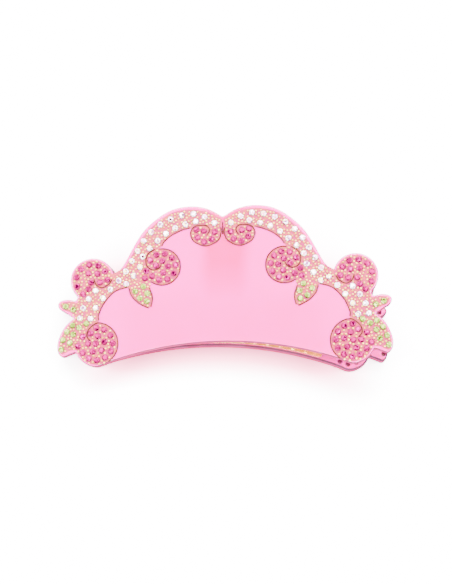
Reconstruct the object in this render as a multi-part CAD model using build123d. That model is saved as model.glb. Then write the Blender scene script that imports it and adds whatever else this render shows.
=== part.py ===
from build123d import *
import math
import os

# A jaw hair clip of two glossy plates with crystals and beads on their outer faces, hinged on a spring pin.
# The clip lies on its back: X runs across it, Y runs from the comb edge to the crest and Z is up.
# Each jaw is drawn flat in its own frame (u across, v towards the crest, outer face up), then placed.
# Millimetres throughout.

# ---- driving dimensions ----
PLATE_T = 3.5  # thickness of a plate
ARCH_TOP = 7.4  # v of the comb edge at the centre
ARCH_R = 112.0  # radius of the comb edge
HINGE_V = 34.0  # v of the hinge axis
HINGE_DROP = 4.1  # from a plate's inner face to the hinge axis
REST_OPEN = 7.0  # angle between the jaws at rest, crest end apart, degrees
SKEW = 4.4  # how far the front jaw leans on its loose pin, right end up, degrees
YAW = 1.1  # how far it turns flat on its loose pin, right end to the crest, degrees

CRYSTAL_R = 1.0
CRYSTAL_GIRDLE = 0.1
CRYSTAL_RISE = 0.75  # table above the plate's face
TABLE_R = 0.6
CRYSTAL_DEPTH = 0.8
SEAT_HOLE_R = 0.75
BEAD_R = 0.33
BEAD_CENTRE = 0.12  # bead centre above the plate's face
BEAD_SPACING = 0.98
LINE_W = 0.36  # gold outline wire
LINE_H = 0.3

METAL_T = 0.8  # brackets
COMB_T = 0.6
BRACKET_LOW, BRACKET_HIGH = 21.0, 38.6
FRONT_BRACKET_W, REAR_BRACKET_W = 12.0, 9.2
EAR_T = 0.8
EAR_R = 2.2
PIN_R = 0.8
PIN_CLEARANCE = 0.05
PIN_REACH = 6.35
PIN_HEAD_R = 1.3
PIN_HEAD_T = 0.6
COMB_NEAR, COMB_FAR = 0.7, 13.0  # the comb's back, measured up from the comb edge
COMB_CORNER = 2.0
COMB_HALF = 32.0
TOOTH_W, TOOTH_TIP_W = 1.5, 0.8
TOOTH_PITCH = 4.0
REACH_MIDDLE, REACH_END = 3.6, 1.05  # depth of the comb's teeth under the plate
RIVET_R, RIVET_HEAD_R, RIVET_HEAD_T, RIVET_DEPTH = 0.5, 1.1, 0.4, 2.0
SPRING_WIRE_R = 0.35
SPRING_COIL_R = 1.3
SPRING_PITCH = 0.8
SPRING_TURNS = 7
SPRING_LEG = 4.6
REAR_LEG_SPLAY, FRONT_LEG_SPLAY = 19.0, 26.0  # the legs open towards their brackets, degrees

REAR_FACE_Z = PLATE_T + CRYSTAL_RISE  # height of the rear plate's inner face above the table
Y_CENTRE = 25.0  # v that lies over the origin

UPPER_BERRY = (41.5, 27.5, 7.05)  # centre u, centre v, radius
LOWER_BERRY = (39.9, 7.1, 7.1)
INNER_BERRY = (19.3, 31.3, 5.85)
TOP_CURL = (5.5, 42.1, 3.0)


# ---- curves in the plane of a plate ----
def on_circle(circle, degrees, inset=0.0):
    angle = math.radians(degrees)
    radius = circle[2] - inset
    return (circle[0] + radius * math.cos(angle), circle[1] + radius * math.sin(angle))


def arc_points(circle, start, end, inset=0.0, step=15.0):
    count = max(2, round(abs(end - start) / step))
    return [on_circle(circle, start + (end - start) * i / count, inset) for i in range(count + 1)]


def smooth(points, per_span=12):
    """A Catmull-Rom curve through the points, as a fine polyline."""
    ends = [points[0]] + list(points) + [points[-1]]
    curve = []
    for i in range(1, len(ends) - 2):
        a, b, c, d = ends[i - 1 : i + 3]
        for step in range(per_span):
            t = step / per_span
            curve.append(
                tuple(
                    0.5
                    * (
                        2 * b[k]
                        + (c[k] - a[k]) * t
                        + (2 * a[k] - 5 * b[k] + 4 * c[k] - d[k]) * t**2
                        + (3 * b[k] - a[k] - 3 * c[k] + d[k]) * t**3
                    )
                    for k in range(2)
                )
            )
    return curve + [points[-1]]


def spaced(points, count):
    """Places at equal distances along a smooth curve."""
    curve = smooth(points)
    along = [0.0]
    for a, b in zip(curve, curve[1:]):
        along.append(along[-1] + math.dist(a, b))
    found = []
    j = 0
    for i in range(count):
        target = along[-1] * i / (count - 1)
        while j < len(curve) - 2 and along[j + 1] < target:
            j += 1
        t = (target - along[j]) / (along[j + 1] - along[j])
        found.append(tuple(curve[j][k] + (curve[j + 1][k] - curve[j][k]) * t for k in range(2)))
    return found


def spiral(centre, radii, angles, count):
    """Places along a turn whose radius grows evenly with its angle."""
    found = []
    for i in range(count):
        t = i / max(1, count - 1)
        angle = math.radians(angles[0] + (angles[1] - angles[0]) * t)
        radius = radii[0] + (radii[1] - radii[0]) * t
        found.append((centre[0] + radius * math.cos(angle), centre[1] + radius * math.sin(angle)))
    return found


# ---- outline of the right half of a plate ----
CREST = [(0, 47.2), (4.5, 49.8), (9.6, 50.8), (15, 50.2), (19.5, 48.1), (24.4, 44), (27.6, 39.6), (31.8, 31.9)]
CREST_NOTCH = on_circle(UPPER_BERRY, 168)
UPPER_BERRY_END = on_circle(UPPER_BERRY, -50)
SMALL_LEAF = [(46.9, 20.8), (49, 21.4), (51.4, 21.1), (52.5, 19.9), (51.9, 18.3), (49.8, 17), (47.3, 15.3)]
LOWER_LEAF = [(47.3, 15.3), (50, 13), (51.9, 9.4), (52.5, 6.4), (52, 4.1), (50.8, 3)]
LOWER_BERRY_START = on_circle(LOWER_BERRY, -20)
LOWER_BERRY_END = on_circle(LOWER_BERRY, -90)
ARCH_END = 37.0


def arch_v(u, rise=0.0):
    """v of the comb edge, or of an arc parallel to it."""
    return ARCH_TOP - ARCH_R + math.sqrt((ARCH_R + rise) ** 2 - u**2)


def half_outline():
    return [
        Spline(CREST + [CREST_NOTCH]),
        ThreePointArc(CREST_NOTCH, on_circle(UPPER_BERRY, 60), UPPER_BERRY_END),
        Line(UPPER_BERRY_END, SMALL_LEAF[0]),
        Spline(SMALL_LEAF),
        Spline(LOWER_LEAF),
        Line(LOWER_LEAF[-1], LOWER_BERRY_START),
        ThreePointArc(LOWER_BERRY_START, on_circle(LOWER_BERRY, -55), LOWER_BERRY_END),
        Spline([LOWER_BERRY_END, (38.5, 0.4), (ARCH_END, arch_v(ARCH_END))]),
    ]


def plate_blank():
    right = half_outline()
    left = [edge.mirror(Plane.YZ) for edge in right]
    arch = ThreePointArc((ARCH_END, arch_v(ARCH_END)), (0, ARCH_TOP), (-ARCH_END, arch_v(ARCH_END)))
    return extrude(make_face(right + left + [arch]), amount=PLATE_T)


# ---- decoration: gold outlines, crystals and beads of the right half ----
def gold_lines():
    lower = smooth([(41.9, 8.1), (43, 9.6), (42.6, 11.6), (40.8, 13.3)] + arc_points(LOWER_BERRY, 95, 235, 0.35))
    vine = smooth([(39.3, 14.6), (39.4, 16), (38.4, 18.7), (37.3, 20.5), (35.25, 22.9), (33.2, 24.2), (30.4, 24.95)])
    leaf_out = smooth([(29.8, 24.6), (28.9, 22.1), (26.6, 19.8), (23.5, 18.2)])
    leaf_in = smooth([(22.8, 18.6), (22.3, 21.4), (23.2, 24.6)])
    berry = smooth(arc_points(INNER_BERRY, -54, -278))
    top_edge = smooth([(19.3, 38.1), (18.6, 39.4), (16.1, 41.5), (12.9, 43), (10.4, 43.65)])
    berry_curl = smooth([(21.5, 37), (23.6, 35.7), (24.45, 33.5), (23.9, 31.4), (22, 30.35), (20.2, 30.95), (19.6, 32)])
    top_curl = smooth(
        [(0.6, 43.6), (0.5, 42), (1.6, 39.4), (5.4, 37.75), (9, 39.2), (10.2, 41.5), (9.6, 43.5)]
        + [(8, 44.35), (5.6, 44.4), (4.4, 43.6), (4.3, 42.4), (5.1, 41.2)]
    )
    upper_curl = smooth([(35.3, 27.4), (36.3, 26), (38.4, 25), (40.2, 25.9), (41, 27.7)])
    return {
        "lower": lower,
        "vine": vine,
        "leaf_out": leaf_out,
        "leaf_in": leaf_in,
        "berry": berry,
        "top_edge": top_edge,
        "berry_curl": berry_curl,
        "top_curl": top_curl,
        "upper_curl": upper_curl,
    }


def white_places():
    outer = [(2.6, 45.1), (5.5, 47), (10.4, 48.2), (18.4, 45.8), (24.2, 41), (28.6, 33.9), (31.8, 28.6)]
    outer += [(36.4, 23.6), (40.5, 18.3), (41.9, 15.2)]
    inner = [(8.5, 45.7), (15.6, 43.5), (21.1, 39.4), (25.6, 34.5), (26.5, 31), (30.6, 26)]
    side = [(40.4, 24), (42.5, 21.4), (44.3, 18.4), (45.2, 15.3)]
    return spaced(outer, 16) + spaced(inner, 10) + spaced(side, 4)


def pink_places():
    upper = spiral(UPPER_BERRY, (5.3, 4.8), (-57, 180), 8) + spiral(UPPER_BERRY, (2.5, 2.6), (60, 199), 3)
    upper += spiral(UPPER_BERRY, (0.9, 3.1), (-62, -68), 2)
    lower = spiral(LOWER_BERRY, (5.1, 5.1), (88, 328), 9) + spiral(LOWER_BERRY, (5.9, 5.1), (354, 388), 2)
    lower += spiral(LOWER_BERRY, (2.5, 2.7), (100, 364), 5)
    lower += [(LOWER_BERRY[0] + 1.9, LOWER_BERRY[1] + 3.4), (LOWER_BERRY[0] + 0.3, LOWER_BERRY[1] + 0.1)]
    inner = spiral(INNER_BERRY, (4.3, 4.3), (30, 318), 9) + spiral(INNER_BERRY, (1.9, 1.9), (12, 258), 4)
    inner += [(24.3, 30.05), (24.7, 27.75)]
    curl = spiral(TOP_CURL, (3, 3), (178, 378), 5) + [(TOP_CURL[0] + 0.5, TOP_CURL[1] + 0.5)]
    return upper + lower + inner + curl


def green_places():
    low_leaf = spiral(LOWER_BERRY, (7.3, 8.5), (63, 3), 4) + spiral(LOWER_BERRY, (9.8, 11.3), (38, -8), 4)
    small_leaf = [(47.4, 18.15), (49.9, 19.15)]
    inner_leaf = [(25.2, 25.1), (23.95, 22.9), (24.1, 20.4), (27.8, 23.6), (26.3, 21.4)]
    return low_leaf + small_leaf + inner_leaf


def bead_field(lines):
    """The closed edge of the beaded ground: inside the plate's rim on one side, the gold outline on the other."""
    rim = [(0.5, 45.7), (4.5, 48.3), (9.8, 49.3), (15, 48.7), (18.9, 46.9), (23.4, 43), (26.4, 38.9), (30.6, 31.4)]
    rim += [(34.2, 27.9)] + arc_points(UPPER_BERRY, 165, -50, 0.9)
    rim += [(46, 20.2), (49, 20.6), (51.4, 20), (50.9, 18.6), (47.8, 16.9), (46.6, 15.2)]
    rim += [(49.3, 12.6), (51.1, 9.2), (51.7, 6.4), (51, 4.2), (48.6, 5.4)] + arc_points(LOWER_BERRY, -15, -120, 0.6)
    inner = [p for p in lines["lower"] if p[0] < 39.5][::-1]
    inner += lines["vine"] + lines["leaf_out"] + lines["leaf_in"] + lines["berry"]
    inner += lines["top_edge"] + [p for p in lines["top_curl"] if p[1] < 43.3 and (p[0] > 6 or p[1] < 41)][::-1]
    return rim + inner


def inside(point, outline):
    crossings = 0
    for a, b in zip(outline, outline[1:] + outline[:1]):
        if (a[1] > point[1]) != (b[1] > point[1]):
            crossings += point[0] < a[0] + (point[1] - a[1]) * (b[0] - a[0]) / (b[1] - a[1])
    return crossings % 2 == 1


def bead_places(stones, lines):
    """Beads nestle round the crystals, closest places first, wherever the ground has room for one."""
    line_points = [p for line in lines.values() for p in line]
    field = bead_field(lines)
    near = CRYSTAL_R + BEAD_R + 0.06
    candidates = []
    step = 0.2
    for i in range(3, int(53 / step)):
        for j in range(int(50 / step)):
            place = (i * step, j * step)
            gap = min(math.dist(place, stone) for stone in stones)
            if near <= gap <= 2.5:
                candidates.append((round(gap, 2), place))
    beads = []
    for gap, place in sorted(candidates):
        if any(math.dist(place, bead) < BEAD_SPACING for bead in beads):
            continue
        if min(math.dist(place, p) for p in line_points) < BEAD_R + LINE_W / 2 + 0.03:
            continue
        if inside(place, field):
            beads.append(place)
    return beads


def both_sides(places):
    return places + [(-u, v) for u, v in places]


def crystal():
    top = PLATE_T + CRYSTAL_RISE
    profile = Polyline(
        (0, 0, PLATE_T - CRYSTAL_DEPTH),
        (CRYSTAL_R, 0, PLATE_T),
        (CRYSTAL_R, 0, PLATE_T + CRYSTAL_GIRDLE),
        (TABLE_R, 0, top),
        (0, 0, top),
        close=True,
    )
    return revolve(make_face(profile), Axis.Z)


def seat_cutter():
    lip = PLATE_T - CRYSTAL_DEPTH * (1 - SEAT_HOLE_R / CRYSTAL_R)
    profile = Polyline(
        (0, 0, -1),
        (SEAT_HOLE_R, 0, -1),
        (SEAT_HOLE_R, 0, lip),
        (CRYSTAL_R, 0, PLATE_T),
        (CRYSTAL_R, 0, PLATE_T + 1),
        (0, 0, PLATE_T + 1),
        close=True,
    )
    return revolve(make_face(profile), Axis.Z)


def bead():
    foot = math.sqrt(BEAD_R**2 - BEAD_CENTRE**2)
    side = math.sqrt(0.5) * BEAD_R
    curve = ThreePointArc(
        (foot, 0, PLATE_T), (side, 0, PLATE_T + BEAD_CENTRE + side), (0, 0, PLATE_T + BEAD_CENTRE + BEAD_R)
    )
    base = Polyline((0, 0, PLATE_T + BEAD_CENTRE + BEAD_R), (0, 0, PLATE_T), (foot, 0, PLATE_T))
    return revolve(make_face([curve] + base.edges()), Axis.Z)


def copies(solid, places):
    return [Pos(u, v, 0) * solid for u, v in places]


def ribbon(curve):
    """A flat wire of even width along a curve, lying on the plate's face."""
    points = curve[::4] + ([curve[-1]] if (len(curve) - 1) % 4 else [])
    left, right = [], []
    for i, point in enumerate(points):
        a, b = points[max(0, i - 1)], points[min(len(points) - 1, i + 1)]
        length = math.dist(a, b)
        side = ((a[1] - b[1]) / length * LINE_W / 2, (b[0] - a[0]) / length * LINE_W / 2)
        left.append((point[0] + side[0], point[1] + side[1]))
        right.append((point[0] - side[0], point[1] - side[1]))
    edges = [Spline(left), Line(left[-1], right[-1]), Spline(right[::-1]), Line(right[0], left[0])]
    return Pos(0, 0, PLATE_T) * extrude(make_face(edges), amount=LINE_H)


def outline_wire(lines):
    right = [ribbon(line) for line in lines.values()]
    left = [wire.mirror(Plane.YZ) for wire in right]
    centre = Pos(0, 43.4, PLATE_T + LINE_H / 2) * Box(LINE_W, 4.0, LINE_H)
    return right + left + [centre]


# ---- metalwork under a plate ----
def pin_direction():
    """The pin's line in the placed clip: each jaw takes half of the lean and the turn."""
    lean, turn = math.radians(SKEW / 2), math.radians(YAW / 2)
    return Vector(math.cos(turn) * math.cos(lean), math.sin(turn) * math.cos(lean), math.sin(lean))


def hinge_axis(side):
    """The same line in a jaw's own frame, as a plane across it."""
    along = pin_direction()
    if side == "rear":
        along = Vector(along.X, along.Y, -along.Z)
    else:
        along = along.rotate(Axis.Z, -YAW).rotate(Axis.Y, SKEW)
    ahead = (Vector(0, 1, 0) - along * along.Y).normalized()
    return Plane(origin=(0, HINGE_V, -HINGE_DROP), x_dir=ahead, z_dir=along)


def pin_solid(side, radius, reach):
    return hinge_axis(side).location * Cylinder(radius, 2 * reach)


def bracket_rivet_places():
    return [(u, v) for u in (-3, 3) for v in (23.2, 28.2)]


def comb_rivet_places():
    middle = (COMB_NEAR + COMB_FAR) / 2
    return [(u, arch_v(u, middle)) for u in (-27, -13.5, 0, 13.5, 27)]


def rivet_shanks(places, sheet_t):
    return [Pos(u, v, (RIVET_DEPTH - sheet_t) / 2) * Cylinder(RIVET_R, RIVET_DEPTH + sheet_t) for u, v in places]


def rivets(places, sheet_t):
    head = Pos(0, 0, -sheet_t - RIVET_HEAD_T / 2) * Cylinder(RIVET_HEAD_R, RIVET_HEAD_T)
    shank = Pos(0, 0, (RIVET_DEPTH - sheet_t) / 2) * Cylinder(RIVET_R, RIVET_DEPTH + sheet_t)
    return copies(head + shank, places)


def ear(u):
    """One upright of a bracket, round about the pin."""
    foot = Polyline(
        (HINGE_V - 3.8, 0),
        (HINGE_V + 3.8, 0),
        (HINGE_V + EAR_R, -HINGE_DROP),
        (HINGE_V - EAR_R, -HINGE_DROP),
        close=True,
    )
    outline = make_face(foot) + Pos(HINGE_V, -HINGE_DROP) * Circle(EAR_R)
    upright = extrude(Plane((u, 0, 0), x_dir=(0, 1, 0), z_dir=(1, 0, 0)) * outline, amount=EAR_T / 2, both=True)
    return upright


def hinge_bracket(side, width, hole_r):
    length = BRACKET_HIGH - BRACKET_LOW
    base = Pos(0, BRACKET_LOW + length / 2, -METAL_T / 2) * Box(width, length, METAL_T)
    body = base + ear((width - EAR_T) / 2) + ear(-(width - EAR_T) / 2)
    return body - [pin_solid(side, hole_r, 10)] - rivet_shanks(bracket_rivet_places(), METAL_T)


def tooth(u):
    """A tooth stands square to the plate on the comb's folded lower edge, narrower at its tip."""
    reach = REACH_MIDDLE + (REACH_END - REACH_MIDDLE) * abs(u) / COMB_HALF
    root, tip = TOOTH_W / 2, TOOTH_TIP_W / 2
    outline = Polyline((-root, -COMB_T / 2), (root, -COMB_T / 2), (tip, -reach), (-tip, -reach), close=True)
    front = Plane((0, COMB_NEAR + COMB_T, 0), x_dir=(1, 0, 0), z_dir=(0, -1, 0)) * make_face(outline)
    blade = extrude(front, amount=COMB_T)
    turn = math.degrees(math.asin(u / ARCH_R))
    return Pos(0, ARCH_TOP - ARCH_R, 0) * Rot(0, 0, -turn) * Pos(0, ARCH_R, 0) * blade


def comb(phase):
    """A wide sheet along the comb edge, with rounded ends and a row of teeth."""
    low = [(u, arch_v(u, COMB_NEAR)) for u in (COMB_HALF, -COMB_HALF)]
    high = [(u, arch_v(u, COMB_FAR)) for u in (COMB_HALF, -COMB_HALF)]
    back = make_face(
        [
            ThreePointArc(low[0], (0, ARCH_TOP + COMB_NEAR), low[1]),
            Line(low[1], high[1]),
            ThreePointArc(high[1], (0, ARCH_TOP + COMB_FAR), high[0]),
            Line(high[0], low[0]),
        ]
    )
    back = fillet(back.vertices(), COMB_CORNER)
    solid = extrude(back, amount=-COMB_T)
    count = int((COMB_HALF - COMB_CORNER) / TOOTH_PITCH)
    for i in range(-count - 1, count + 1):
        u = (i + phase) * TOOTH_PITCH
        if abs(u) < COMB_HALF - COMB_CORNER:
            solid += tooth(u)
    return solid - rivet_shanks(comb_rivet_places(), COMB_T)


def hinge_pin():
    shaft = Cylinder(PIN_R, 2 * PIN_REACH)
    heads = [Pos(0, 0, side * (PIN_REACH + PIN_HEAD_T / 2)) * Cylinder(PIN_HEAD_R, PIN_HEAD_T) for side in (-1, 1)]
    return hinge_axis("rear").location * (shaft + heads)


def torsion_spring():
    """A close coil on the pin, with one leg under each bracket on the crest side, closing the comb edge."""
    height = SPRING_PITCH * SPRING_TURNS
    path = Helix(pitch=SPRING_PITCH, height=height, radius=SPRING_COIL_R)
    section = Plane(origin=path @ 0, z_dir=path % 0) * Circle(SPRING_WIRE_R)
    coil = Pos(0, 0, -height / 2) * sweep(section, path=path, is_frenet=True)
    spring = coil
    for end, splay in ((-1, FRONT_LEG_SPLAY), (1, REAR_LEG_SPLAY)):
        leg = Pos(SPRING_LEG / 2, end * SPRING_COIL_R, end * height / 2) * Rot(0, 90, 0)
        spring += Rot(0, 0, end * splay) * leg * Cylinder(SPRING_WIRE_R, SPRING_LEG)
    return hinge_axis("rear").location * spring


# ---- placing the jaws ----
def to_rear(shape):
    return Pos(0, -Y_CENTRE, REAR_FACE_Z) * shape.mirror(Plane.XY)


def to_front(shape):
    centre = Vector(0, HINGE_V - Y_CENTRE, REAR_FACE_Z + HINGE_DROP)
    shape = Pos(0, -HINGE_V, HINGE_DROP) * shape
    shape = shape.rotate(Axis.Y, -SKEW).rotate(Axis.Z, YAW)
    shape = shape.rotate(Axis((0, 0, 0), pin_direction()), REST_OPEN)
    return Pos(centre) * shape


def write(name, solids, place):
    solids = solids if isinstance(solids, list) else [solids]
    flat = [solid for shape in solids for solid in shape.solids()]
    group = Compound([place(solid) for solid in flat])
    export_step(group, f"parts/{name}.step")
    return group


def jaw(side, place, bracket_w, hole_r, phase, design):
    lines, white, pink, green, beads = design
    seats = copies(seat_cutter(), both_sides(white + pink + green))
    fixings = rivet_shanks(bracket_rivet_places() + comb_rivet_places(), METAL_T)
    made = [
        write(f"{side}_plate", plate_blank() - seats - fixings, place),
        write(f"{side}_gold_outline", outline_wire(lines), place),
        write(f"{side}_white_crystals", copies(crystal(), both_sides(white)), place),
        write(f"{side}_pink_crystals", copies(crystal(), both_sides(pink)), place),
        write(f"{side}_green_crystals", copies(crystal(), both_sides(green)), place),
        write(f"{side}_gold_beads", copies(bead(), both_sides(beads)), place),
        write(f"{side}_hinge_bracket", hinge_bracket(side, bracket_w, hole_r), place),
        write(f"{side}_comb", comb(phase), place),
        write(f"{side}_bracket_rivets", rivets(bracket_rivet_places(), METAL_T), place),
        write(f"{side}_comb_rivets", rivets(comb_rivet_places(), COMB_T), place),
    ]
    return made


def main():
    os.makedirs("parts", exist_ok=True)
    lines = gold_lines()
    white, pink, green = white_places(), pink_places(), green_places()
    beads = bead_places(white + pink + green, lines)
    design = (lines, white, pink, green, beads)
    print("crystals", len(white), len(pink), len(green), "beads", len(beads))
    made = jaw("rear", to_rear, REAR_BRACKET_W, PIN_R, 0.5, design)
    made += jaw("front", to_front, FRONT_BRACKET_W, PIN_R + PIN_CLEARANCE, 0.0, design)
    made.append(write("hinge_pin", hinge_pin(), to_rear))
    made.append(write("torsion_spring", torsion_spring(), to_rear))
    box = Compound(made).bounding_box()
    print("box", box.min, box.max)


if __name__ == "__main__":
    main()
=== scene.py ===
import math
import random

import bmesh
import bpy
from mathutils import Matrix, Vector
from mathutils.geometry import delaunay_2d_cdt


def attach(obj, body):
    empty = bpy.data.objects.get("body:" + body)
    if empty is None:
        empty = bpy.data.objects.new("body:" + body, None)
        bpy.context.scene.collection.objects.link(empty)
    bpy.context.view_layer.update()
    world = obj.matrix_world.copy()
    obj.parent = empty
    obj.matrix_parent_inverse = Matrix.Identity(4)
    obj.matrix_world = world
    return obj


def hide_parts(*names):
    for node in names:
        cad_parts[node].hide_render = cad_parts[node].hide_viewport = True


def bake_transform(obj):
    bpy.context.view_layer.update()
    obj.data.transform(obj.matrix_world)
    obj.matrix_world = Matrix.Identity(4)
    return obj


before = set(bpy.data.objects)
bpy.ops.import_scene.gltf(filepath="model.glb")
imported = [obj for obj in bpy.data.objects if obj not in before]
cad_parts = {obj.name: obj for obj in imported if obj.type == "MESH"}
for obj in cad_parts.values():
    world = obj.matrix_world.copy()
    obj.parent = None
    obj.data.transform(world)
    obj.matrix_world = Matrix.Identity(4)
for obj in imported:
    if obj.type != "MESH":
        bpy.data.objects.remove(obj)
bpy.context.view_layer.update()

# A jaw hair clip lying on its back: two acetate plates with crystals and beads, on a hinge pin with a spring.
# Each jaw is drawn flat in its own frame in millimetres (u across, v to the crest, outer face up at PLATE_T)
# and then placed, so the numbers of the plane match the solid model's.
MM = 0.001

# ---- driving dimensions, millimetres and degrees ----
PLATE_T = 3.5
ARCH_TOP = 7.4  # height of the comb edge at the middle
ARCH_R = 112.0  # radius of the comb edge
ARCH_END = 37.0
HINGE_V = 34.0
HINGE_DROP = 4.1  # from a plate's inner face to the pin
REST_OPEN = 7.0  # angle between the plates at rest
SKEW = 4.4  # lean of the front jaw, its right end away from the rear jaw
YAW = 1.1  # turn of the front jaw in its own plane
Y_CENTRE = 25.0  # height in the plane that stands over the frame's origin
EDGE_ROUND = 0.5

CRYSTAL_R = 1.0
CRYSTAL_GIRDLE = 0.1
CRYSTAL_RISE = 0.75
TABLE_R = 0.56
CRYSTAL_DEPTH = 0.8
STAR_R, STAR_RISE = 0.83, 0.46  # where the crown's upper facets meet the lower ones
BACK_R, BACK_DEPTH = 0.55, 0.42
SEAT_HOLE_R = 0.75
SEAT_HOLE_SIDES = 20
HOLE_CHAMFER = 0.12
BEAD_R = 0.33
LINE_W = 0.36
LINE_H = 0.28

METAL_T = 0.8
COMB_T = 0.6
BRACKET_LOW, BRACKET_HIGH = 21.0, 38.6
FRONT_BRACKET_W, REAR_BRACKET_W = 12.0, 9.2
EAR_T = 0.8
EAR_R = 2.2
PIN_R = 0.8
PIN_REACH = 6.35
PIN_HEAD_R = 1.3
PIN_HEAD_T = 0.6
COMB_NEAR, COMB_FAR = 0.7, 13.0
COMB_CORNER = 2.0
COMB_HALF = 32.0
TOOTH_W, TOOTH_TIP_W = 1.5, 0.8
TOOTH_PITCH = 4.0
REACH_MIDDLE, REACH_END = 3.6, 1.05
RIVET_HEAD_R, RIVET_HEAD_T = 1.1, 0.4
BRACKET_RIVETS_U, BRACKET_RIVETS_V = (-3, 3), (23.2, 28.2)
COMB_RIVETS_U = (-27, -13.5, 0, 13.5, 27)
SPRING_WIRE_R = 0.35
SPRING_COIL_R = 1.3
SPRING_PITCH = 0.8
SPRING_TURNS = 7
SPRING_LEG = 4.6
REAR_LEG_SPLAY, FRONT_LEG_SPLAY = 19.0, 26.0

REAR_FACE_Z = PLATE_T + CRYSTAL_RISE  # the rear jaw lies on its crystals

# ---- the right half of the outline: circles as (u, v, radius), curves by the points they pass ----
UPPER_BERRY = (41.5, 27.5, 7.05)
LOWER_BERRY = (39.9, 7.1, 7.1)
INNER_BERRY = (19.3, 31.3, 5.85)

CREST = [(0, 47.2), (4.5, 49.8), (9.6, 50.8), (15, 50.2)]
CREST += [(19.5, 48.1), (24.4, 44), (27.6, 39.6), (31.8, 31.9)]
SMALL_LEAF = [(46.9, 20.8), (49, 21.4), (51.4, 21.1), (52.5, 19.9), (51.9, 18.3), (49.8, 17), (47.3, 15.3)]
LOWER_LEAF = [(47.3, 15.3), (50, 13), (51.9, 9.4), (52.5, 6.4), (52, 4.1), (50.8, 3)]

# ---- which material of its list a face takes ----
FACE, WALL, GROUND, RIM_SHADE = 0, 1, 2, 3
# the girdle's dark material is painted shade round the stone
BACK, SHADED_GIRDLE = 1, 2  # a stone's crown takes the first


# ---- placing a jaw ----
def rear_place():
    flip = Matrix.Diagonal((MM, MM, -MM, 1))
    return Matrix.Translation(Vector((0, -Y_CENTRE, REAR_FACE_Z)) * MM) @ flip


def pin_direction():
    lean, turn = math.radians(SKEW / 2), math.radians(YAW / 2)
    return Vector((math.cos(turn) * math.cos(lean), math.sin(turn) * math.cos(lean), math.sin(lean)))


def front_place():
    centre = Vector((0, HINGE_V - Y_CENTRE, REAR_FACE_Z + HINGE_DROP))
    place = Matrix.Translation(centre * MM) @ Matrix.Rotation(math.radians(REST_OPEN), 4, pin_direction())
    place = place @ Matrix.Rotation(math.radians(YAW), 4, "Z") @ Matrix.Rotation(math.radians(-SKEW), 4, "Y")
    return place @ Matrix.Diagonal((MM, MM, MM, 1)) @ Matrix.Translation((0, -HINGE_V, HINGE_DROP))


PLACES = {"rear": rear_place(), "front": front_place()}


# ---- curves in the plane of a plate ----
def on_circle(circle, degrees, inset=0.0):
    angle = math.radians(degrees)
    radius = circle[2] - inset
    return (circle[0] + radius * math.cos(angle), circle[1] + radius * math.sin(angle))


def arc_points(circle, start, end, inset=0.0, step=15.0):
    count = max(2, round(abs(end - start) / step))
    return [on_circle(circle, start + (end - start) * i / count, inset) for i in range(count + 1)]


def smooth(points, per_span=12):
    """A Catmull-Rom curve through the points, as a fine polyline."""
    ends = [points[0]] + list(points) + [points[-1]]
    curve = []
    for i in range(1, len(ends) - 2):
        a, b, c, d = (Vector(p) for p in ends[i - 1 : i + 3])
        for step in range(per_span):
            t = step / per_span
            bend = (2 * a - 5 * b + 4 * c - d) * t**2 + (3 * b - a - 3 * c + d) * t**3
            curve.append(tuple(0.5 * (2 * b + (c - a) * t + bend)))
    return curve + [tuple(points[-1])]


def even(points, step):
    """The same polyline with its points at even distances."""
    points = [Vector(p) for p in points]
    along = [0.0]
    for a, b in zip(points, points[1:]):
        along.append(along[-1] + (b - a).length)
    count = max(2, round(along[-1] / step))
    found = []
    j = 0
    for i in range(count + 1):
        target = along[-1] * i / count
        while j < len(points) - 2 and along[j + 1] < target:
            j += 1
        t = (target - along[j]) / max(1e-9, along[j + 1] - along[j])
        found.append(points[j].lerp(points[j + 1], min(1, t)))
    return found


def arch_v(u, rise=0.0):
    return ARCH_TOP - ARCH_R + math.sqrt((ARCH_R + rise) ** 2 - u**2)


def plate_outline():
    """The closed outline, anticlockwise, with its cusps a little softened."""
    crest = smooth(CREST + [on_circle(UPPER_BERRY, 168)])
    berry = arc_points(UPPER_BERRY, 168, -50, step=4)
    leaves = smooth(SMALL_LEAF) + smooth(LOWER_LEAF)[1:]
    lower = arc_points(LOWER_BERRY, -20, -90, step=4)
    foot = smooth([lower[-1], (38.5, 0.4), (ARCH_END, arch_v(ARCH_END))])
    arch = [(ARCH_END - i * ARCH_END / 80, arch_v(ARCH_END - i * ARCH_END / 80)) for i in range(81)]
    right = even(crest + berry[1:] + leaves + lower + foot[1:] + arch[1:], 0.3)
    left = [Vector((-p.x, p.y)) for p in right[1:-1]]
    ring = right[::-1] + left
    for _ in range(3):
        after = ring[1:] + ring[:1]
        ring = [0.25 * ring[i - 1] + 0.5 * ring[i] + 0.25 * after[i] for i in range(len(ring))]
    return ring


def inset_ring(ring, amount):
    moved = []
    for i, point in enumerate(ring):
        along = ring[(i + 1) % len(ring)] - ring[i - 1]
        inward = Vector((-along.y, along.x)).normalized()
        moved.append(point + inward * amount)
    return moved


def signed_area(ring):
    return sum(a.x * b.y - b.x * a.y for a, b in zip(ring, ring[1:] + ring[:1])) / 2


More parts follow.
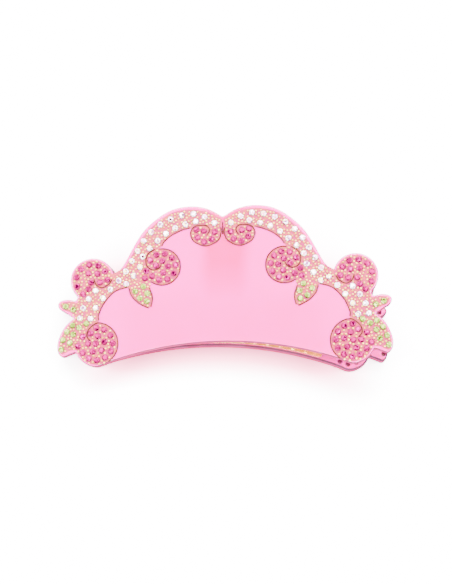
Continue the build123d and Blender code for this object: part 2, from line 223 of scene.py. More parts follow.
def gold_lines():
    """The wires of the right half, by name."""
    hook = [(41.9, 8.1), (43, 9.6), (42.6, 11.6), (40.8, 13.3)]
    lower = smooth(hook + arc_points(LOWER_BERRY, 95, 235, 0.35))
    vine = smooth(
        [(39.3, 14.6), (39.4, 16), (38.4, 18.7), (37.3, 20.5)]
        + [(35.25, 22.9), (33.2, 24.2), (30.4, 24.95)]
    )
    leaf_out = smooth([(29.8, 24.6), (28.9, 22.1), (26.6, 19.8), (23.5, 18.2)])
    leaf_in = smooth([(22.8, 18.6), (22.3, 21.4), (23.2, 24.6)])
    berry = smooth(arc_points(INNER_BERRY, -54, -278))
    top_edge = smooth([(19.3, 38.1), (18.6, 39.4), (16.1, 41.5), (12.9, 43), (10.4, 43.65)])
    berry_curl = smooth(
        [(21.5, 37), (23.6, 35.7), (24.45, 33.5), (23.9, 31.4)]
        + [(22, 30.35), (20.2, 30.95), (19.6, 32)]
    )
    top_curl = smooth(
        [(0.6, 43.6), (0.5, 42), (1.6, 39.4), (5.4, 37.75), (9, 39.2), (10.2, 41.5), (9.6, 43.5)]
        + [(8, 44.35), (5.6, 44.4), (4.4, 43.6), (4.3, 42.4), (5.1, 41.2)]
    )
    upper_curl = smooth([(35.3, 27.4), (36.3, 26), (38.4, 25), (40.2, 25.9), (41, 27.7)])
    return {
        "lower": lower,
        "vine": vine,
        "leaf_out": leaf_out,
        "leaf_in": leaf_in,
        "berry": berry,
        "top_edge": top_edge,
        "berry_curl": berry_curl,
        "top_curl": top_curl,
        "upper_curl": upper_curl,
    }


def ground_outline(lines):
    """The edge of the beaded ground on the right half, from the rim round to the gold outlines."""
    rim = smooth([(4.5, 48.7), (9.8, 49.7), (15, 49.1), (18.9, 47.2), (23.7, 43.2), (26.8, 39), (31, 31.5)])
    rim += arc_points(UPPER_BERRY, 165, -50, 0.6)
    rim += smooth([(46, 20.3), (49, 20.8), (51.6, 20.1), (51, 18.4), (47.8, 16.9), (46.6, 15.2)])
    rim += smooth([(49.4, 12.7), (51.3, 9.3), (51.9, 6.4), (51.2, 4), (48.6, 5)])
    rim += arc_points(LOWER_BERRY, -15, -120, 0.5)
    inner = [p for p in lines["lower"] if p[0] < 39.5][::-1]
    inner += lines["vine"] + lines["leaf_out"] + lines["leaf_in"] + lines["berry"]
    curl = [p for p in lines["top_curl"] if p[1] < 43.3 and (p[0] > 6 or p[1] < 41)]
    inner += lines["top_edge"] + curl[::-1]
    return even([(0.3, 46.3)] + rim + inner, 0.5)


def inside(point, outline):
    crossings = 0
    for a, b in zip(outline, outline[1:] + outline[:1]):
        if (a.y > point.y) != (b.y > point.y):
            crossings += point.x < a.x + (point.y - a.y) * (b.x - a.x) / (b.y - a.y)
    return crossings % 2 == 1


# ---- meshes ----
def finish_piece(name, bm, side, material, replaced, smooth_faces=True, rides=True):
    """One object from a mesh in a jaw's own millimetres, which then moves with that jaw if it rides."""
    matrix = PLACES[side]
    bmesh.ops.transform(bm, matrix=matrix, verts=bm.verts)
    if matrix.determinant() < 0:
        bmesh.ops.reverse_faces(bm, faces=bm.faces)
    for face in bm.faces:
        face.smooth = smooth_faces
    mesh = bpy.data.meshes.new(name)
    bm.to_mesh(mesh)
    bm.free()
    obj = bpy.data.objects.new(name, mesh)
    bpy.context.scene.collection.objects.link(obj)
    for made in material if isinstance(material, list) else [material]:
        mesh.materials.append(made)
    if rides:
        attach(obj, f"{side}_jaw")
    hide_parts(replaced)
    return obj


def bridge(bm, low, high):
    """Faces between two closed rings of as many points."""
    count = len(low)
    faces = []
    for i in range(count):
        j = (i + 1) % count
        faces.append(bm.faces.new((low[i], low[j], high[j], high[i])))
    return faces


def island_centres(node):
    """The middle of each separate solid of a CAD node."""
    bm = bmesh.new()
    bm.from_mesh(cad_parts[node].data)
    bmesh.ops.remove_doubles(bm, verts=bm.verts, dist=1e-6)
    centres = []
    seen = set()
    for start in bm.verts:
        if start.index in seen:
            continue
        seen.add(start.index)
        group, stack = [], [start]
        while stack:
            vert = stack.pop()
            group.append(vert.co)
            for edge in vert.link_edges:
                other = edge.other_vert(vert)
                if other.index not in seen:
                    seen.add(other.index)
                    stack.append(other)
        low = Vector([min(co[k] for co in group) for k in range(3)])
        high = Vector([max(co[k] for co in group) for k in range(3)])
        centres.append((low + high) / 2)
    bm.free()
    return centres


def plane_places(side, kind):
    """Where the solids of a node stand in the jaw's own plane."""
    back = PLACES[side].inverted()
    return [Vector((back @ centre).xy) for centre in island_centres(f"{side}_{kind}")]


def plate(side, stones, materials):
    """A slab with round edges, drilled through under every crystal, with the beaded grounds marked out."""
    bm = bmesh.new()
    outline = plate_outline()
    if signed_area(outline) < 0:
        outline.reverse()
    rings = []
    turns = 5
    for i in range(turns + 1):
        angle = math.pi / 2 * i / turns
        rings.append((EDGE_ROUND * (1 - math.sin(angle)), EDGE_ROUND * (1 - math.cos(angle))))
    for i in range(turns + 1):
        angle = math.pi / 2 * i / turns
        rings.append((EDGE_ROUND * (1 - math.cos(angle)), PLATE_T - EDGE_ROUND * (1 - math.sin(angle))))
    layers = []
    for inset, height in rings:
        flat = inset_ring(outline, inset)
        layers.append([bm.verts.new((p.x, p.y, height)) for p in flat])
    for i, (low, high) in enumerate(zip(layers, layers[1:])):
        for face in bridge(bm, low, high):
            # the walls and the round edges take the painted-shade materials
            face.material_index = WALL if i == turns else RIM_SHADE if i < 2 * turns - 1 else FACE
    lip = PLATE_T - CRYSTAL_DEPTH * (1 - SEAT_HOLE_R / CRYSTAL_R)
    profile = [(SEAT_HOLE_R + HOLE_CHAMFER, 0), (SEAT_HOLE_R, HOLE_CHAMFER)]
    profile += [(SEAT_HOLE_R, lip), (CRYSTAL_R, PLATE_T)]
    angles = [-360 * k / SEAT_HOLE_SIDES for k in range(SEAT_HOLE_SIDES)]
    holes = []
    for stone in stones:
        stack = []
        for radius, height in profile:
            spots = [on_circle((stone.x, stone.y, radius), angle) for angle in angles]
            stack.append([bm.verts.new((u, v, height)) for u, v in spots])
        for low, high in zip(stack, stack[1:]):
            for face in bridge(bm, low, high):
                face.material_index = WALL
        holes.append(stack)
    right = ground_outline(gold_lines())
    grounds = [right, [Vector((-p.x, p.y)) for p in right][::-1]]
    cap(bm, layers[0], [hole[0] for hole in holes], [], False)
    cap(bm, layers[-1], [hole[-1] for hole in holes], grounds, True)
    obj = finish_piece(f"{side}_plate_shell", bm, side, materials, f"{side}_plate")
    edges = obj.modifiers.new("edges", "EDGE_SPLIT")
    edges.split_angle = math.radians(35)
    return obj


def cap(bm, ring, holes, grounds, upward):
    """Fills the flat face between an outline and its holes, with each ground marked out in it."""
    near = 0.978  # a hole is a polygon, whose sides come a little nearer its centre than its corners
    verts = list(ring)
    loops = [list(range(len(ring)))]
    for hole in holes:
        loops.append(list(range(len(verts), len(verts) + len(hole))))
        verts += hole
    points = [vert.co.xy for vert in verts]
    centres = [sum((points[i] for i in loop), Vector((0, 0))) / len(loop) for loop in loops[1:]]
    radii = [(points[loop[0]] - centre).length for loop, centre in zip(loops[1:], centres)]
    for ground in grounds:
        loops.append(list(range(len(points), len(points) + len(ground))))
        points += ground
    edges = [(loop[i], loop[(i + 1) % len(loop)]) for loop in loops for i in range(len(loop))]
    spots, _, faces, origin, _, _ = delaunay_2d_cdt(points, edges, [], 1, 1e-5)
    height = ring[0].co.z
    found = []
    for spot, came in zip(spots, origin):
        known = [i for i in came if i < len(verts)]
        found.append(verts[known[0]] if known else bm.verts.new((*spot, height)))
    for face in faces:
        corners = [found[index] for index in face]
        middle = sum((c.co.xy for c in corners), Vector((0, 0))) / len(corners)
        if any((middle - centre).length < radius * near for centre, radius in zip(centres, radii)):
            continue
        made = bm.faces.new(corners if upward else corners[::-1])
        if any(inside(middle, ground) for ground in grounds):
            made.material_index = GROUND


def chaton(bm, centre, turn):
    """A pointed-back crystal: octagonal table, star, kite and girdle facets, sixteen facets behind."""
    def ring(count, radius, height, shift):
        found = []
        for k in range(count):
            u, v = on_circle((centre.x, centre.y, radius), turn + shift + 360 * k / count)
            found.append(bm.verts.new((u, v, PLATE_T + height)))
        return found

    table = ring(8, TABLE_R, CRYSTAL_RISE, 0)
    middle = ring(8, STAR_R, STAR_RISE, 22.5)
    girdle = ring(16, CRYSTAL_R - 0.01, CRYSTAL_GIRDLE, 0)
    seat = ring(16, CRYSTAL_R - 0.01, 0.0, 0)
    back = ring(8, BACK_R, -BACK_DEPTH, 11.25)
    culet = bm.verts.new((centre.x, centre.y, PLATE_T - CRYSTAL_DEPTH))
    bm.faces.new(table)
    shaded_band = bridge(bm, seat, girdle)
    for k in range(8):
        n = (k + 1) % 8
        bm.faces.new((table[n], table[k], middle[k]))
        bm.faces.new((table[k], middle[k - 1], girdle[2 * k], middle[k]))
        shaded_band.append(bm.faces.new((middle[k], girdle[2 * k], girdle[2 * k + 1])))
        shaded_band.append(bm.faces.new((middle[k], girdle[2 * k + 1], girdle[(2 * k + 2) % 16])))
    # the girdle band and the outer crown facets take a dark painted-shade material, a shadow round each stone
    for face in shaded_band:
        face.material_index = SHADED_GIRDLE
    behind = []
    for k in range(8):
        behind.append(bm.faces.new((seat[2 * k + 1], seat[2 * k], back[k])))
        behind.append(bm.faces.new((seat[(2 * k + 2) % 16], seat[2 * k + 1], back[k], back[(k + 1) % 8])))
        behind.append(bm.faces.new((back[(k + 1) % 8], back[k], culet)))
    for face in behind:
        face.material_index = BACK


def crystals(side, kind, materials, seed):
    draw = random.Random(seed)
    bm = bmesh.new()
    for place in plane_places(side, kind):
        chaton(bm, place, draw.uniform(0, 45))
    bmesh.ops.recalc_face_normals(bm, faces=bm.faces)
    obj = finish_piece(f"{side}_{kind}_cut", bm, side, materials, f"{side}_{kind}", smooth_faces=False)
    facets = obj.modifiers.new("facets", "EDGE_SPLIT")
    facets.split_angle = math.radians(1)
    return obj


def beads(side, material, seed):
    """Small domes, each a little different in size."""
    draw = random.Random(seed)
    bm = bmesh.new()
    for place in plane_places(side, "gold_beads"):
        size = draw.uniform(0.92, 1.0)
        levels = [(0.93, 0.0), (1.0, 0.13), (0.9, 0.26), (0.62, 0.38)]
        rings = []
        for share, height in levels:
            spots = [on_circle((place.x, place.y, BEAD_R * share * size), 36 * k) for k in range(10)]
            rings.append([bm.verts.new((u, v, PLATE_T + height * size)) for u, v in spots])
        for low, high in zip(rings, rings[1:]):
            bridge(bm, low, high)
        top = bm.verts.new((place.x, place.y, PLATE_T + 0.44 * size))
        for k in range(10):
            bm.faces.new((rings[-1][k], rings[-1][(k + 1) % 10], top))
        bm.faces.new(rings[0][::-1])
    return finish_piece(f"{side}_bead_field", bm, side, material, f"{side}_gold_beads")


def wire_line(bm, points, draw):
    """A half-round wire along a line on the plate's face, a little uneven."""
    points = even(points, 0.3)
    section = [(-1, 0), (-0.9, 0.55), (-0.45, 0.95), (0.45, 0.95), (0.9, 0.55), (1, 0)]
    rings = []
    for i, point in enumerate(points):
        along = points[min(i + 1, len(points) - 1)] - points[max(i - 1, 0)]
        side = Vector((-along.y, along.x)).normalized()
        width = LINE_W / 2 * draw.uniform(0.9, 1.0)
        height = LINE_H * draw.uniform(0.8, 1.0)
        rings.append([bm.verts.new((*(point + side * width * s), PLATE_T + height * h)) for s, h in section])
    for low, high in zip(rings, rings[1:]):
        for k in range(len(section)):
            n = (k + 1) % len(section)
            bm.faces.new((low[k], high[k], high[n], low[n]))
    bm.faces.new(rings[0])
    bm.faces.new(rings[-1][::-1])


def outline_wire(side, material, seed):
    draw = random.Random(seed)
    bm = bmesh.new()
    for line in gold_lines().values():
        wire_line(bm, line, draw)
        wire_line(bm, [(-u, v) for u, v in line], draw)
    wire_line(bm, [(0, 45.4), (0, 43.4), (0, 41.4)], draw)
    bmesh.ops.recalc_face_normals(bm, faces=bm.faces)
    return finish_piece(f"{side}_outline_wire", bm, side, material, f"{side}_gold_outline")


def prism(bm, outline, start, end, place=Matrix.Identity(4)):
    """A straight solid over an outline, from one height to another."""
    low = [bm.verts.new(place @ Vector((x, y, start))) for x, y in outline]
    high = [bm.verts.new(place @ Vector((x, y, end))) for x, y in outline]
    bridge(bm, low, high)
    bm.faces.new(low[::-1])
    bm.faces.new(high)
    return low + high


def soften(obj, width, segments=3):
    """Small round edges on pressed metal."""
    bevel = obj.modifiers.new("edges", "BEVEL")
    bevel.width = width * MM
    bevel.segments = segments
    bevel.limit_method = "ANGLE"
    bevel.angle_limit = math.radians(40)
    return obj


def ear_outline():
    """Side view of a bracket's upright, as y and z, with waisted sides and a round top about the pin."""
    points = [(HINGE_V - 3.8, -0.4), (HINGE_V + 3.8, -0.4), (HINGE_V + 3.3, -1.4)]
    points += [on_circle((HINGE_V, -HINGE_DROP, EAR_R), -a) for a in range(0, 181, 15)]
    points += [(HINGE_V - 3.3, -1.4)]
    return points


def bracket(side, width, material):
    bm = bmesh.new()
    half = width / 2
    corner = 1.4
    low, high = BRACKET_LOW, BRACKET_HIGH
    outline = arc_points((half - corner, low + corner, corner), -90, 0)
    outline += arc_points((half - corner, high - corner, corner), 0, 90)
    outline += arc_points((-half + corner, high - corner, corner), 90, 180)
    outline += arc_points((-half + corner, low + corner, corner), 180, 270)
    prism(bm, outline, -METAL_T, 0)
    turn = Matrix(((0, 0, 1, 0), (1, 0, 0, 0), (0, 1, 0, 0), (0, 0, 0, 1)))
    for sign in (-1, 1):
        middle = sign * (half - EAR_T / 2)
        prism(bm, ear_outline(), middle - EAR_T / 2, middle + EAR_T / 2, turn)
    bmesh.ops.recalc_face_normals(bm, faces=bm.faces)
    obj = finish_piece(f"{side}_bracket_plate", bm, side, material, f"{side}_hinge_bracket")
    obj.data.shade_flat()
    return soften(obj, 0.12)


def tooth(bm, u):
    """A tooth stands square to the plate on the comb's folded lower edge, narrower and thinner at its tip."""
    reach = REACH_MIDDLE + (REACH_END - REACH_MIDDLE) * abs(u) / COMB_HALF
    angle = -math.asin(u / ARCH_R)
    place = Matrix.Translation((0, ARCH_TOP - ARCH_R, 0)) @ Matrix.Rotation(angle, 4, "Z")
    place = place @ Matrix.Translation((0, ARCH_R, 0))
    rings = []
    for share in (0, 0.25, 0.5, 0.75, 0.92, 1.0):
        half = TOOTH_W / 2 + (TOOTH_TIP_W - TOOTH_W) / 2 * share
        near = COMB_NEAR
        far = COMB_NEAR + COMB_T
        if share == 1.0:
            half, near, far = half - 0.12, near + 0.12, far - 0.12
        depth = -COMB_T / 2 + (COMB_T / 2 - reach) * share
        corners = [(-half, near), (half, near), (half, far), (-half, far)]
        rings.append([bm.verts.new(place @ Vector((x, y, depth))) for x, y in corners])
    for a, b in zip(rings, rings[1:]):
        bridge(bm, a, b)
    bm.faces.new(rings[0])
    bm.faces.new(rings[-1][::-1])


def comb_sheet_outline():
    """The sheet follows the comb edge and has rounded corners."""
    steps = 64
    us = [COMB_HALF - 2 * COMB_HALF * i / steps for i in range(steps + 1)]
    outline = []
    for u in us:
        outline.append((u, arch_v(u, COMB_NEAR + corner_cut(u))))
    for u in us[::-1]:
        outline.append((u, arch_v(u, COMB_FAR - corner_cut(u))))
    return outline


def corner_cut(u):
    over = max(0.0, abs(u) - (COMB_HALF - COMB_CORNER))
    return COMB_CORNER - math.sqrt(COMB_CORNER**2 - over**2)


def comb(side, phase, material):
    bm = bmesh.new()
    prism(bm, comb_sheet_outline(), -COMB_T, 0)
    count = int((COMB_HALF - COMB_CORNER) / TOOTH_PITCH)
    for i in range(-count - 1, count + 1):
        u = (i + phase) * TOOTH_PITCH
        if abs(u) < COMB_HALF - COMB_CORNER:
            tooth(bm, u)
    bmesh.ops.recalc_face_normals(bm, faces=bm.faces)
    obj = finish_piece(f"{side}_comb_strip", bm, side, material, f"{side}_comb")
    obj.data.shade_flat()
    return soften(obj, 0.1)


def lathe(bm, profile, place, count=24):
    """A turned solid about its own Z, from (radius, height) pairs."""
    rings = []
    for radius, height in profile:
        spots = [on_circle((0, 0, radius), 360 * k / count) for k in range(count)]
        rings.append([bm.verts.new(place @ Vector((x, y, height))) for x, y in spots])
    for low, high in zip(rings, rings[1:]):
        bridge(bm, low, high)
    bm.faces.new(rings[0][::-1])
    bm.faces.new(rings[-1])


def rivet_heads(side, name, places, sheet_t, material):
    bm = bmesh.new()
    top = -sheet_t - RIVET_HEAD_T
    dome = [(0.45, 0), (0.75, 0.05), (0.95, 0.14), (RIVET_HEAD_R, 0.3), (RIVET_HEAD_R, RIVET_HEAD_T)]
    for u, v in places:
        lathe(bm, [(r, top + h) for r, h in dome], Matrix.Translation((u, v, 0)))
    bmesh.ops.recalc_face_normals(bm, faces=bm.faces)
    return finish_piece(f"{side}_{name}_domes", bm, side, material, f"{side}_{name}")


def hinge_matrix():
    """The pin's line in the rear jaw's own frame: Z runs along the pin, X towards the crest."""
    along = pin_direction()
    along.z = -along.z
    ahead = (Vector((0, 1, 0)) - along * along.y).normalized()
    other = along.cross(ahead)
    turn = Matrix((ahead, other, along)).transposed().to_4x4()
    return Matrix.Translation((0, HINGE_V, -HINGE_DROP)) @ turn


def hinge_pin(material):
    bm = bmesh.new()
    end = PIN_REACH + PIN_HEAD_T
    half = [(0.5, end), (0.95, end - 0.08), (PIN_HEAD_R, end - 0.3)]
    half += [(PIN_HEAD_R, PIN_REACH), (PIN_R, PIN_REACH)]
    profile = [(r, -h) for r, h in half] + half[::-1]
    lathe(bm, profile, hinge_matrix(), 32)
    bmesh.ops.recalc_face_normals(bm, faces=bm.faces)
    obj = finish_piece("hinge_pin_turned", bm, "rear", material, "hinge_pin")
    edges = obj.modifiers.new("edges", "EDGE_SPLIT")
    edges.split_angle = math.radians(50)
    return obj


def tube(bm, path, radius, count=10):
    """A round wire along a path of points."""
    rings = []
    across = Vector((0, 0, 1))
    for i, point in enumerate(path):
        along = (path[min(i + 1, len(path) - 1)] - path[max(i - 1, 0)]).normalized()
        across = (across - along * across.dot(along)).normalized()
        other = along.cross(across)
        ring = []
        for k in range(count):
            angle = 2 * math.pi * k / count
            ring.append(bm.verts.new(point + radius * (math.cos(angle) * across + math.sin(angle) * other)))
        rings.append(ring)
    for low, high in zip(rings, rings[1:]):
        bridge(bm, low, high)
    bm.faces.new(rings[0][::-1])
    bm.faces.new(rings[-1])


def torsion_spring(material):
    """A close coil on the pin with a leg under each bracket."""
    bm = bmesh.new()
    turn = hinge_matrix()
    half = SPRING_PITCH * SPRING_TURNS / 2
    steps = 20 * SPRING_TURNS
    coil = []
    for i in range(steps + 1):
        angle = 2 * math.pi * SPRING_TURNS * i / steps
        height = -half + 2 * half * i / steps
        coil.append(turn @ Vector((SPRING_COIL_R * math.cos(angle), SPRING_COIL_R * math.sin(angle), height)))
    tube(bm, coil, SPRING_WIRE_R)
    for sign, splay in ((-1, FRONT_LEG_SPLAY), (1, REAR_LEG_SPLAY)):
        swing = Matrix.Rotation(math.radians(sign * splay), 4, "Z")
        leg = [Vector((SPRING_LEG * i / 8, sign * SPRING_COIL_R, sign * half)) for i in range(9)]
        tube(bm, [turn @ swing @ point for point in leg], SPRING_WIRE_R)
    bmesh.ops.recalc_face_normals(bm, faces=bm.faces)
    obj = finish_piece("spring_coil", bm, "rear", material, "torsion_spring", rides=False)
    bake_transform(obj)
    return obj


# ---- materials ----
class Nodes:
    """A material's node tree, with short ways to add and join nodes."""

    def __init__(self, name):
        self.material = bpy.data.materials.new(name)
        self.material.use_nodes = True
        self.tree = self.material.node_tree
        self.shader = self.tree.nodes["Principled BSDF"]

    def add(self, kind, **inputs):
        node = self.tree.nodes.new(kind)
        for key, value in inputs.items():
            node.inputs[key.replace("_", " ")].default_value = value
        return node

    def join(self, source, target):
        self.tree.links.new(source, target)

    def set(self, **inputs):
        for key, value in inputs.items():
            self.shader.inputs[key.replace("_", " ")].default_value = value

    def ramp(self, factor, stops, steps="LINEAR"):
        node = self.tree.nodes.new("ShaderNodeValToRGB")
        node.color_ramp.interpolation = steps
        elements = node.color_ramp.elements
        while len(elements) < len(stops):
            elements.new(0.5)
        for element, (position, colour) in zip(elements, stops):
            element.position = position
            element.color = (*colour, 1)
        self.join(factor, node.inputs["Fac"])
        return node.outputs["Color"]

    def math(self, operation, first, second=None):
        node = self.tree.nodes.new("ShaderNodeMath")
        node.operation = operation
        for socket, value in zip(node.inputs, (first, second)):
            if isinstance(value, (int, float)):
                socket.default_value = value
            elif value is not None:
                self.join(value, socket)
        return node.outputs["Value"]

    def fade(self, value, start, end):
        """Rises smoothly from 0 at the start to 1 at the end."""
        node = self.tree.nodes.new("ShaderNodeMapRange")
        node.interpolation_type = "SMOOTHSTEP"
        self.join(value, node.inputs["Value"])
        node.inputs["From Min"].default_value = start
        node.inputs["From Max"].default_value = end
        return node.outputs["Result"]

    def noise(self, scale, detail=2.0):
        place = self.add("ShaderNodeTexCoord")
        node = self.add("ShaderNodeTexNoise", Scale=scale, Detail=detail)
        self.join(place.outputs["Object"], node.inputs["Vector"])
        return node.outputs["Fac"]

    def bump(self, height, strength, distance):
        node = self.add("ShaderNodeBump", Strength=strength, Distance=distance)
        self.join(height, node.inputs["Height"])
        self.join(node.outputs["Normal"], self.shader.inputs["Normal"])


def painted_metal_shade(m):
    """A painted-shade mask: where the bracket at the middle and the comb along the edge lie under the sheet,
    their shade shows through it.
    """
    place = m.add("ShaderNodeTexCoord")
    apart = m.add("ShaderNodeSeparateXYZ")
    m.join(place.outputs["Object"], apart.inputs["Vector"])
    across = m.math("ABSOLUTE", apart.outputs["X"])
    bracket = m.fade(across, 0.0095, 0.0035)
    bracket = m.math("MULTIPLY", bracket, m.fade(apart.outputs["Y"], -0.013, 0.012))
    comb = m.fade(across, 0.036, 0.026)
    comb = m.math("MULTIPLY", comb, m.fade(apart.outputs["Y"], 0.001, -0.009))
    comb = m.math("MULTIPLY", comb, 0.25)
    return m.math("MAXIMUM", bracket, comb)


def acetate():
    """Translucent sheet, faintly cloudy, with painted shade deepening its colour where the metal lies behind
    it.
    """
    m = Nodes("pink_acetate")
    cloud = m.math("MULTIPLY", m.noise(45.0), 0.35)
    # painted shade: the metal's shadow seen through the sheet deepens the colour on top of the cloudy tone
    depth = m.math("ADD", cloud, m.math("MULTIPLY", painted_metal_shade(m), 0.95))
    colour = m.ramp(depth, [(0.1, (0.62, 0.008, 0.27)), (1.0, (0.47, 0.0022, 0.14))])
    m.join(colour, m.shader.inputs["Base Color"])
    m.set(Roughness=0.12, IOR=1.49, Subsurface_Weight=1.0, Subsurface_Scale=0.002)
    m.shader.inputs["Subsurface Radius"].default_value = (1.0, 0.3, 0.6)
    m.bump(m.noise(90.0, 1.0), 0.05, 0.0006)
    return m.material


def shaded_sheet_edge(name, dark, light, painted_glow=0.0):
    """The sawn and polished walls and the round edges, painted darker than the faces as painted shade; a
    painted glow in the same colour stands in for light coming through the sheet.
    """
    m = Nodes(name)
    colour = m.ramp(m.noise(160.0), [(0.3, dark), (0.7, light)])
    m.join(colour, m.shader.inputs["Base Color"])
    m.join(colour, m.shader.inputs["Emission Color"])
    m.set(Roughness=0.4, Specular_IOR_Level=0.0, Emission_Strength=painted_glow)
    m.bump(m.noise(700.0, 2.0), 0.08, 0.0001)
    return m.material


def bead_ground():
    """Gilt cement between the beads, with pink sheet showing through it."""
    m = Nodes("bead_ground")
    mottle = m.noise(1400.0, 3.0)
    colour = m.ramp(mottle, [(0.38, (0.2, 0.005, 0.06)), (0.62, (0.28, 0.034, 0.034))])
    m.join(colour, m.shader.inputs["Base Color"])
    m.set(Roughness=0.4, Specular_IOR_Level=0.1)
    m.bump(mottle, 0.4, 0.0001)
    return m.material


def cut_stone(name, painted_tones, shine):
    """A foiled crystal with painted reflections: every facet, and every patch of its inner reflection, takes
    one colour of the list, each a painted level of light, shade or flash standing in for the light the cut
    stone catches.
    """
    m = Nodes(name)
    facet = m.add("ShaderNodeNewGeometry").outputs["Random Per Island"]
    place = m.add("ShaderNodeTexCoord")
    cells = m.add("ShaderNodeTexVoronoi", Scale=1100.0)
    m.join(place.outputs["Object"], cells.inputs["Vector"])
    split = m.add("ShaderNodeSeparateColor")
    m.join(cells.outputs["Color"], split.inputs["Color"])
    wrap = m.math("FRACT", m.math("ADD", facet, split.outputs["Red"]))
    m.join(m.ramp(wrap, painted_tones, "CONSTANT"), m.shader.inputs["Base Color"])
    m.set(Roughness=0.05, Specular_IOR_Level=shine)
    return m.material


def stone_back(name, dark, light, painted_glow=0.0):
    """A stone's girdle or back, in colours between dark and light. A girdle's dark colour is painted shade
    round the stone; a back's emission is a painted glow standing in for light coming through the sheet to its
    seat.
    """
    m = Nodes(name)
    colour = m.ramp(m.noise(900.0), [(0.35, dark), (0.65, light)])
    m.join(colour, m.shader.inputs["Base Color"])
    m.join(colour, m.shader.inputs["Emission Color"])
    m.set(Metallic=0.4, Roughness=0.35, Emission_Strength=painted_glow)
    return m.material


def gilt(name, dark, light, rough, metallic, scale, shine=0.5):
    m = Nodes(name)
    m.join(m.ramp(m.noise(scale, 4.0), [(0.35, dark), (0.65, light)]), m.shader.inputs["Base Color"])
    m.set(Metallic=metallic, Roughness=rough, Specular_IOR_Level=shine)
    m.bump(m.noise(scale * 4, 2.0), 0.15, 0.00005)
    return m.material


MATERIALS = {
    "plate": [
        acetate(),
        # the walls: painted shade, with a painted glow for light coming through the sheet
        shaded_sheet_edge("pink_wall", (0.13, 0.012, 0.045), (0.2, 0.018, 0.07), 1.5),
        bead_ground(),
        # the round edges: dark mauve, painted shade that outlines the plate
        shaded_sheet_edge("pink_rim", (0.055, 0.014, 0.03), (0.08, 0.022, 0.045)),
    ],
    "white": [
        # the crystals' colour lists are painted reflections: lit, shaded and flashing patches of each stone's
        # colour
        cut_stone(
            "white_crystal",
            [(0, (0.55, 0.36, 0.6)), (0.16, (0.7, 0.6, 0.2)), (0.34, (1.0, 0.95, 1.0))]
            + [(0.68, (0.16, 0.05, 0.16)), (0.78, (0.025, 0.008, 0.014)), (0.83, (0.55, 0.16, 0.3))],
            0.05,
        ),
        # the backs carry a painted glow; the girdles are painted shade
        stone_back("white_back", (0.3, 0.08, 0.13), (0.5, 0.16, 0.22), 1.2),
        stone_back("white_girdle_shade", (0.06, 0.02, 0.035), (0.2, 0.12, 0.13)),
    ],
    "pink": [
        cut_stone(
            "pink_crystal",
            [(0, (0.1, 0.0, 0.03)), (0.3, (0.18, 0.0, 0.055)), (0.52, (0.018, 0.0, 0.006))]
            + [(0.64, (0.26, 0.001, 0.085)), (0.92, (0.4, 0.008, 0.18))],
            0.0,
        ),
        stone_back("pink_back", (0.25, 0.04, 0.1), (0.4, 0.09, 0.16), 1.2),
        stone_back("pink_girdle_shade", (0.035, 0.0, 0.012), (0.1, 0.001, 0.032)),
    ],
    "green": [
        cut_stone(
            "green_crystal",
            [(0, (0.08, 0.12, 0.008)), (0.3, (0.16, 0.22, 0.02)), (0.52, (0.02, 0.028, 0.002))]
            + [(0.64, (0.27, 0.33, 0.055)), (0.92, (0.5, 0.55, 0.2))],
            0.0,
        ),
        stone_back("green_back", (0.25, 0.1, 0.08), (0.4, 0.18, 0.13), 1.2),
        stone_back("green_girdle_shade", (0.03, 0.035, 0.006), (0.12, 0.14, 0.02)),
    ],
    "bead": gilt("bead_gold", (0.32, 0.13, 0.012), (0.72, 0.43, 0.075), 0.3, 0.3, 900.0, 0.5),
    "line": gilt("line_gold", (0.02, 0.007, 0.002), (0.046, 0.019, 0.006), 0.5, 0.2, 700.0, 0.0),
    "gold": gilt("gold_plate", (0.85, 0.42, 0.08), (0.9, 0.6, 0.2), 0.25, 0.8, 200.0),
    "spring": gilt("spring_wire", (0.7, 0.5, 0.25), (0.8, 0.62, 0.35), 0.25, 1.0, 400.0),
}


# ---- the clip ----
def jaw(side, bracket_width, phase, seed):
    kinds = ("white", "pink", "green")
    stones = [place for kind in kinds for place in plane_places(side, f"{kind}_crystals")]
    made = [(plate(side, stones, MATERIALS["plate"]), "acetate")]
    for i, kind in enumerate(kinds):
        made.append((crystals(side, f"{kind}_crystals", MATERIALS[kind], seed + i), f"{kind}_stone"))
    made.append((beads(side, MATERIALS["bead"], seed + 5), "gold_bead"))
    made.append((outline_wire(side, MATERIALS["line"], seed + 6), "gold_line"))
    made.append((bracket(side, bracket_width, MATERIALS["gold"]), "gold_metal"))
    made.append((comb(side, phase, MATERIALS["gold"]), "gold_metal"))
    spots = [(u, v) for u in BRACKET_RIVETS_U for v in BRACKET_RIVETS_V]
    made.append((rivet_heads(side, "bracket_rivets", spots, METAL_T, MATERIALS["gold"]), "gold_metal"))
    middle = (COMB_NEAR + COMB_FAR) / 2
    spots = [(u, arch_v(u, middle)) for u in COMB_RIVETS_U]
    made.append((rivet_heads(side, "comb_rivets", spots, COMB_T, MATERIALS["gold"]), "gold_metal"))
    return made


made = jaw("rear", REAR_BRACKET_W, 0.5, 100) + jaw("front", FRONT_BRACKET_W, 0.0, 200)
made.append((hinge_pin(MATERIALS["gold"]), "gold_metal"))
made.append((torsion_spring(MATERIALS["spring"]), "spring_steel"))


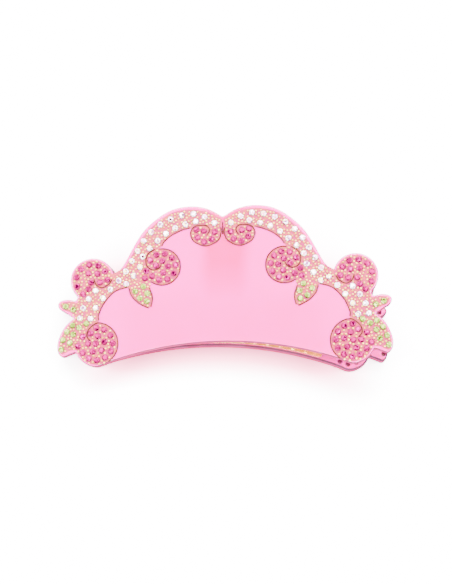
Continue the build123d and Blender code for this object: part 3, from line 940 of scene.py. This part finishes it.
# ---- table, light and camera ----
def painted_clip_light(m):
    """A painted pool of pink light and shade on the table, standing in for light through the clip: full under
    it, and fading out in front of its comb edge.
    """
    middle, side = (PLACES["rear"] @ Vector((u, arch_v(u), 0)) for u in (0, 30))
    bend = (middle.y - side.y) / side.x ** 2
    place = m.add("ShaderNodeTexCoord")
    apart = m.add("ShaderNodeSeparateXYZ")
    m.join(place.outputs["Object"], apart.inputs["Vector"])
    across = apart.outputs["X"]
    along = m.math("ADD", apart.outputs["Y"], m.math("MULTIPLY", m.math("MULTIPLY", across, across), bend))
    painted_glow = m.fade(along, middle.y - 0.011, middle.y + 0.001)
    painted_glow = m.math("MULTIPLY", painted_glow, m.fade(m.math("ABSOLUTE", across), 0.052, 0.026))
    return m.math("MULTIPLY", painted_glow, m.fade(apart.outputs["Y"], 0.02, 0.0))


def table_top():
    bm = bmesh.new()
    bmesh.ops.create_grid(bm, x_segments=1, y_segments=1, size=3.0)
    mesh = bpy.data.meshes.new("table")
    bm.to_mesh(mesh)
    bm.free()
    obj = bpy.data.objects.new("table", mesh)
    bpy.context.scene.collection.objects.link(obj)
    m = Nodes("white_table")
    # the table's colours run from plain white to the painted pink light and shade under the clip; the same
    # colour feeds the emission
    painted_tones = [(0, (0.95, 0.95, 0.95)), (0.3, (0.93, 0.6, 0.68))]
    painted_tones += [(0.65, (0.72, 0.24, 0.35)), (1, (0.45, 0.1, 0.18))]
    colour = m.ramp(painted_clip_light(m), painted_tones)
    m.join(colour, m.shader.inputs["Base Color"])
    m.join(colour, m.shader.inputs["Emission Color"])
    m.set(Roughness=0.6, Emission_Strength=4.7)
    mesh.materials.append(m.material)


def softbox(name, place, aim, size, power):
    light = bpy.data.lights.new(name, "AREA")
    light.shape = "RECTANGLE"
    light.size, light.size_y = size
    light.energy = power
    obj = bpy.data.objects.new(name, light)
    obj.location = place
    obj.rotation_euler = (Vector(aim) - Vector(place)).to_track_quat("-Z", "Y").to_euler()
    bpy.context.scene.collection.objects.link(obj)


def sky(strength):
    world = bpy.data.worlds.new("studio")
    world.use_nodes = True
    background = world.node_tree.nodes["Background"]
    background.inputs["Color"].default_value = (1, 1, 1, 1)
    background.inputs["Strength"].default_value = strength
    bpy.context.scene.world = world


def camera(elevation, distance, roll, aim, lens):
    data = bpy.data.cameras.new("camera")
    data.lens = lens
    data.clip_start = 0.01
    obj = bpy.data.objects.new("camera", data)
    angle = math.radians(elevation)
    obj.location = Vector(aim) + distance * Vector((0, -math.cos(angle), math.sin(angle)))
    look = (Vector(aim) - obj.location).to_track_quat("-Z", "Y")
    obj.rotation_euler = (look.to_matrix() @ Matrix.Rotation(math.radians(roll), 3, "Z")).to_euler()
    bpy.context.scene.collection.objects.link(obj)
    bpy.context.scene.camera = obj


table_top()
sky(0.3)
softbox("back_light", (0.0, 0.6, 0.8), (0, 0, 0), (1.2, 0.5), 115.0)
softbox("left_light", (-0.8, -0.1, 0.75), (0, 0, 0), (0.4, 0.8), 60.0)
softbox("right_light", (0.8, -0.1, 0.75), (0, 0, 0), (0.4, 0.8), 60.0)
softbox("front_light", (0.0, -0.9, 0.6), (0, 0, 0), (1.0, 0.3), 32.0)
camera(73.6, 0.352, 0.98, (0.0006, -0.0022, 0.012), 68.7)
